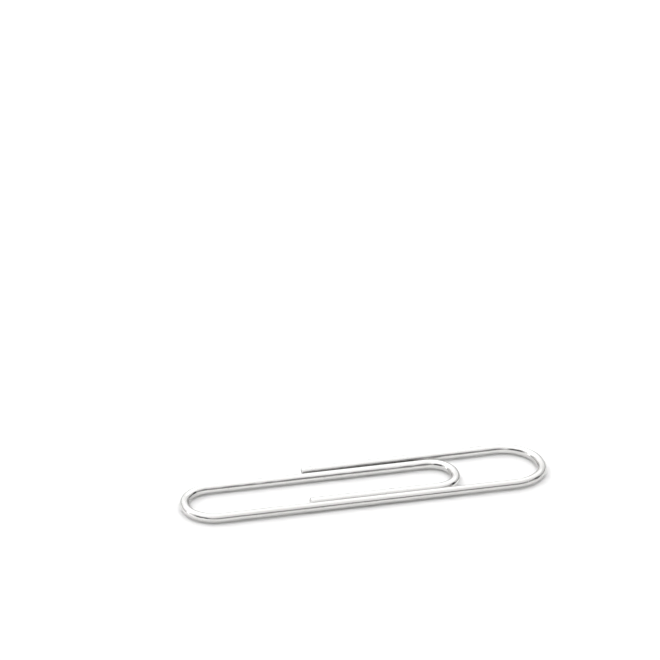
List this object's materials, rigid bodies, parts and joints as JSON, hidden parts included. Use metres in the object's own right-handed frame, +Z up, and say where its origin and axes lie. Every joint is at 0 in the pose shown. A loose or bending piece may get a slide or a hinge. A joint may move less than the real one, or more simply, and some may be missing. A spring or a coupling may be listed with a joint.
{
  "type": "paper clip",
  "caption": "Flat double-loop paper clip of bright plated steel wire, whose inner tongue springs out of plane to grip sheets of paper.",
  "frame": {"origin": "under the middle of the outline, level with the lowest line of the wire that the clip lies on", "axes": "+X along the clip towards the outer bend, +Y across it towards the free outer leg, +Z up out of the clip's plane"},
  "size_m": [0.0476, 0.011, 0.0012],
  "materials": {
    "plated_wire": "bright nickel plating"
  },
  "bodies": {
    "long_leg": {"long_leg": "plated_wire"},
    "outer_leg": {"outer_leg": "plated_wire"},
    "tongue_leg": {"tongue_leg": "plated_wire"},
    "inner_leg": {"inner_leg": "plated_wire"}
  },
  "joints": [
    {"name": "end_bend_twist", "type": "hinge", "parent": "long_leg", "child": "tongue_leg", "pos_m": [-0.02319, -0.00097, 0.00061], "axis": [0, -1, 0], "range_deg": [-10, 10], "stiffness_Nm_per_rad": 0.54},
    {"name": "outer_bend_twist", "type": "hinge", "parent": "long_leg", "child": "outer_leg", "pos_m": [0.02319, 0, 0.00061], "axis": [0, 1, 0], "range_deg": [-7, 7], "stiffness_Nm_per_rad": 0.8},
    {"name": "inner_bend_twist", "type": "hinge", "parent": "tongue_leg", "child": "inner_leg", "pos_m": [0.01177, -0.00031, 0.00061], "axis": [0, 1, 0], "range_deg": [-5, 5], "stiffness_Nm_per_rad": 1.2}
  ]
}
